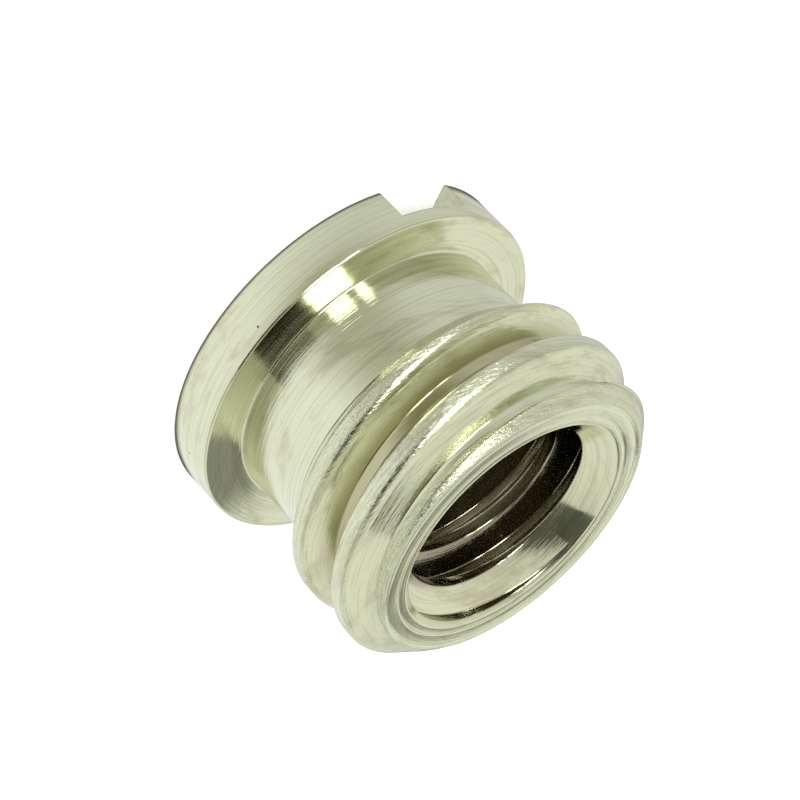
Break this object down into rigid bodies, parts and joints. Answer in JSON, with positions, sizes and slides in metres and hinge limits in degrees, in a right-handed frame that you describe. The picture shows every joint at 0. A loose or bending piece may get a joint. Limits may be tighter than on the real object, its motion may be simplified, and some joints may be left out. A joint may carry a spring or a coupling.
{
  "type": "tripod thread adapter",
  "caption": "Slotted metal bushing that lets a mount with a large tripod thread take a small tripod screw: wide head, relief neck, coarse male thread and female thread through the middle.",
  "frame": {"origin": "centre of the slotted face of the head", "axes": "+Z runs along the thread axis from the slotted head to the threaded end, +X runs along the slot"},
  "size_m": [0.0102, 0.0102, 0.0072],
  "materials": {
    "nickel_plate": "bright nickel plate over turned metal, with fine turning marks"
  },
  "bodies": {
    "root": {"adapter_body": "nickel_plate"}
  },
  "joints": []
}
